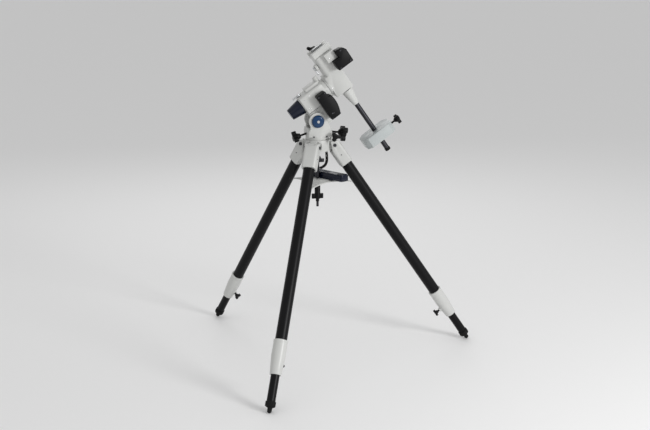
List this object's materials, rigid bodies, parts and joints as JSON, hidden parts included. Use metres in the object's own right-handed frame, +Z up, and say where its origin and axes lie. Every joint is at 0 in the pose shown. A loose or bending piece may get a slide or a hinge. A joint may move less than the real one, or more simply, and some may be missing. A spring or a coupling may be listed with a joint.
{
  "type": "equatorial telescope mount",
  "caption": "Tilted two-axis telescope mount head with counterweight on a splayed tripod with a tray and hand controller.",
  "frame": {"origin": "on the tripod's axis at ground level", "axes": "+Z up, +X towards the high end of the polar axis over one leg, +Y to the far side"},
  "size_m": [1.0007, 1.1474, 1.2803],
  "materials": {
    "white_casting": "satin white paint over a fine cast texture",
    "white_sleeve": "smooth white moulding",
    "black_tube": "satin black paint",
    "black_plastic": "black moulding with a fine grain",
    "black_rubber": "black rubber",
    "cord_skin": "satin black cord jacket",
    "key_rubber": "grey key membrane",
    "navy_plastic": "dark blue moulding",
    "blue_cap": "bright blue gloss",
    "dark_ring": "dark anodised ring",
    "weight_paint": "light grey enamel over cast iron",
    "dark_steel": "dark plated steel",
    "steel": "ground steel",
    "aluminium": "satin aluminium",
    "black_aluminium": "black anodised tube",
    "brass": "cut brass"
  },
  "bodies": {
    "tripod": {"tripod_head": "white_casting", "hinge_bolts": "dark_steel", "cord_socket": "black_plastic", "handset_cord": "cord_skin", "handset_case": "navy_plastic", "handset_keys": "key_rubber"},
    "center_rod": {"center_rod": "dark_steel"},
    "tray": {"tray": "white_casting"},
    "tray_nut": {"tray_nut": "black_plastic"},
    "leg_a": {"leg_bracket_a": "white_casting", "upper_tube_a": "black_tube", "leg_collar_a": "white_sleeve"},
    "lower_leg_a": {"lower_tube_a": "black_tube", "leg_foot_a": "black_rubber"},
    "leg_knob_a": {"leg_knob_a": "black_plastic"},
    "leg_b": {"leg_bracket_b": "white_casting", "upper_tube_b": "black_tube", "leg_collar_b": "white_sleeve"},
    "lower_leg_b": {"lower_tube_b": "black_tube", "leg_foot_b": "black_rubber"},
    "leg_knob_b": {"leg_knob_b": "black_plastic"},
    "leg_c": {"leg_bracket_c": "white_casting", "upper_tube_c": "black_tube", "leg_collar_c": "white_sleeve"},
    "lower_leg_c": {"lower_tube_c": "black_tube", "leg_foot_c": "black_rubber"},
    "leg_knob_c": {"leg_knob_c": "black_plastic"},
    "azimuth": {"fork": "white_casting", "pivot_bolt": "steel", "pivot_caps": "blue_cap"},
    "near_azimuth_knob": {"near_azimuth_knob": "black_plastic"},
    "far_azimuth_knob": {"far_azimuth_knob": "black_plastic"},
    "polar_head": {"ra_housing": "white_casting", "ra_bearings": "steel", "polar_scope": "black_aluminium", "ra_motor_cover": "black_plastic", "ra_motor": "steel"},
    "south_latitude_bolt": {"south_latitude_bolt": "black_plastic"},
    "north_latitude_bolt": {"north_latitude_bolt": "black_plastic"},
    "polar_cap": {"polar_cap": "navy_plastic"},
    "ra_lock_lever": {"ra_lock_lever": "aluminium"},
    "ra_worm": {"ra_worm": "steel"},
    "declination_head": {"ra_shaft": "steel", "ra_worm_wheel": "brass", "dec_housing": "white_casting", "dec_motor_cover": "black_plastic", "dec_motor": "steel"},
    "dec_lock_lever": {"dec_lock_lever": "aluminium"},
    "dec_worm": {"dec_worm": "steel"},
    "declination": {"dec_shaft": "steel", "dec_worm_wheel": "brass", "saddle": "white_casting", "lock_ring": "dark_ring", "shaft_cone": "white_sleeve", "counterweight_shaft": "dark_steel", "shaft_end_cap": "black_rubber"},
    "counterweight": {"counterweight": "weight_paint"},
    "weight_knob": {"weight_knob": "black_plastic"},
    "clamp_knob": {"clamp_knob": "black_plastic"},
    "saddle_jaw": {"saddle_jaw": "aluminium"}
  },
  "joints": [
    {"name": "rod_turn", "type": "hinge", "parent": "tripod", "child": "center_rod", "pos_m": [0, 0, 0.82], "axis": [0, 0, 1], "continuous": true},
    {"name": "tray_nut_turn", "type": "hinge", "parent": "tripod", "child": "tray_nut", "pos_m": [0, 0, 0.7], "axis": [0, 0, 1], "continuous": true},
    {"name": "leg_fold_a", "type": "hinge", "parent": "tripod", "child": "leg_a", "pos_m": [0.065, 0, 0.87222], "axis": [0, 1, 0], "range_deg": [0, 22]},
    {"name": "leg_slide_a", "type": "slide", "parent": "leg_a", "child": "lower_leg_a", "axis": [0.5621, 0, -0.8271], "range_m": [-0.095, 0.25]},
    {"name": "leg_knob_turn_a", "type": "hinge", "parent": "leg_a", "child": "leg_knob_a", "pos_m": [0.5198, 0, 0.13183], "axis": [-0.8271, 0, -0.5621], "continuous": true},
    {"name": "leg_fold_b", "type": "hinge", "parent": "tripod", "child": "leg_b", "pos_m": [-0.0325, 0.05629, 0.87222], "axis": [-0.866, -0.5, 0], "range_deg": [0, 22]},
    {"name": "leg_slide_b", "type": "slide", "parent": "leg_b", "child": "lower_leg_b", "axis": [-0.281, 0.4868, -0.8271], "range_m": [-0.095, 0.25]},
    {"name": "leg_knob_turn_b", "type": "hinge", "parent": "leg_b", "child": "leg_knob_b", "pos_m": [-0.2599, 0.45016, 0.13183], "axis": [0.4135, -0.7163, -0.5621], "continuous": true},
    {"name": "leg_fold_c", "type": "hinge", "parent": "tripod", "child": "leg_c", "pos_m": [-0.0325, -0.05629, 0.87222], "axis": [0.866, -0.5, 0], "range_deg": [0, 22]},
    {"name": "leg_slide_c", "type": "slide", "parent": "leg_c", "child": "lower_leg_c", "axis": [-0.281, -0.4868, -0.8271], "range_m": [-0.095, 0.25]},
    {"name": "leg_knob_turn_c", "type": "hinge", "parent": "leg_c", "child": "leg_knob_c", "pos_m": [-0.2599, -0.45016, 0.13183], "axis": [0.4135, 0.7163, -0.5621], "continuous": true},
    {"name": "tray_turn", "type": "hinge", "parent": "tripod", "child": "tray", "pos_m": [0, 0, 0.73], "axis": [0, 0, 1], "range_deg": [0, 60]},
    {"name": "azimuth_turn", "type": "hinge", "parent": "tripod", "child": "azimuth", "pos_m": [0, 0, 0.89622], "axis": [0, 0, 1], "range_deg": [-8, 8]},
    {"name": "near_azimuth_screw_slide", "type": "slide", "parent": "azimuth", "child": "near_azimuth_knob", "axis": [0, 1, 0], "range_m": [-0.0082, 0.0082]},
    {"name": "far_azimuth_screw_slide", "type": "slide", "parent": "azimuth", "child": "far_azimuth_knob", "axis": [0, 1, 0], "range_m": [-0.0082, 0.0082]},
    {"name": "latitude_tilt", "type": "hinge", "parent": "azimuth", "child": "polar_head", "pos_m": [-0.008, 0, 0.97322], "axis": [0, -1, 0], "range_deg": [-10, 25]},
    {"name": "south_latitude_bolt_slide", "type": "slide", "parent": "azimuth", "child": "south_latitude_bolt", "axis": [0.9563, 0, 0.2924], "range_m": [-0.0075, 0.0187]},
    {"name": "north_latitude_bolt_slide", "type": "slide", "parent": "azimuth", "child": "north_latitude_bolt", "axis": [0.9925, 0, -0.1219], "range_m": [-0.0075, 0.0187]},
    {"name": "polar_cap_turn", "type": "hinge", "parent": "polar_head", "child": "polar_cap", "pos_m": [-0.07617, 0, 1.01827], "axis": [0.8192, 0, 0.5736], "continuous": true},
    {"name": "ra_lock_turn", "type": "hinge", "parent": "polar_head", "child": "ra_lock_lever", "pos_m": [-0.0729, 0, 1.06939], "axis": [-0.5736, 0, 0.8192], "range_deg": [-50, 50]},
    {"name": "ra_worm_turn", "type": "hinge", "parent": "polar_head", "child": "ra_worm", "pos_m": [-0.02802, 0, 1.10118], "axis": [0, 1, 0], "continuous": true},
    {"name": "polar_turn", "type": "hinge", "parent": "polar_head", "child": "declination_head", "pos_m": [-0.00244, 0, 1.06989], "axis": [0.8192, 0, 0.5736], "continuous": true},
    {"name": "dec_lock_turn", "type": "hinge", "parent": "declination_head", "child": "dec_lock_lever", "pos_m": [-0.01233, -0.012, 1.17467], "axis": [-0.8192, 0, -0.5736], "range_deg": [-50, 50]},
    {"name": "dec_worm_turn", "type": "hinge", "parent": "declination_head", "child": "dec_worm", "pos_m": [0.04272, -0.0403, 1.2242], "axis": [0.8192, 0, 0.5736], "continuous": true},
    {"name": "declination_turn", "type": "hinge", "parent": "declination_head", "child": "declination", "pos_m": [0.05177, 0, 1.18599], "axis": [-0.5736, 0, 0.8192], "continuous": true},
    {"name": "counterweight_slide", "type": "slide", "parent": "declination", "child": "counterweight", "axis": [-0.5736, 0, 0.8192], "range_m": [-0.045, 0.13]},
    {"name": "weight_knob_turn", "type": "hinge", "parent": "counterweight", "child": "weight_knob", "pos_m": [0.31953, 0, 0.95352], "axis": [0.8192, 0, 0.5736], "continuous": true},
    {"name": "clamp_knob_turn", "type": "hinge", "parent": "declination", "child": "clamp_knob", "pos_m": [-0.00693, 0.044, 1.24193], "axis": [0, 1, 0], "range_deg": [0, 1080]},
    {"name": "saddle_jaw_slide", "type": "slide", "parent": "declination", "child": "saddle_jaw", "axis": [0, 1, 0], "range_m": [0, 0.00375]}
  ],
  "couplings": [
    {"joint": "leg_fold_b", "follows": "leg_fold_a", "ratio": 1},
    {"joint": "leg_fold_c", "follows": "leg_fold_a", "ratio": 1},
    {"joint": "tray_turn", "follows": "leg_fold_a", "ratio": 2.7272},
    {"joint": "near_azimuth_screw_slide", "follows": "azimuth_turn", "m_per_rad": -0.058},
    {"joint": "far_azimuth_screw_slide", "follows": "azimuth_turn", "m_per_rad": -0.058},
    {"joint": "south_latitude_bolt_slide", "follows": "latitude_tilt", "m_per_rad": 0.04016},
    {"joint": "north_latitude_bolt_slide", "follows": "latitude_tilt", "m_per_rad": 0.04169},
    {"joint": "saddle_jaw_slide", "follows": "clamp_knob_turn", "m_per_rad": 0.0001989}
  ]
}
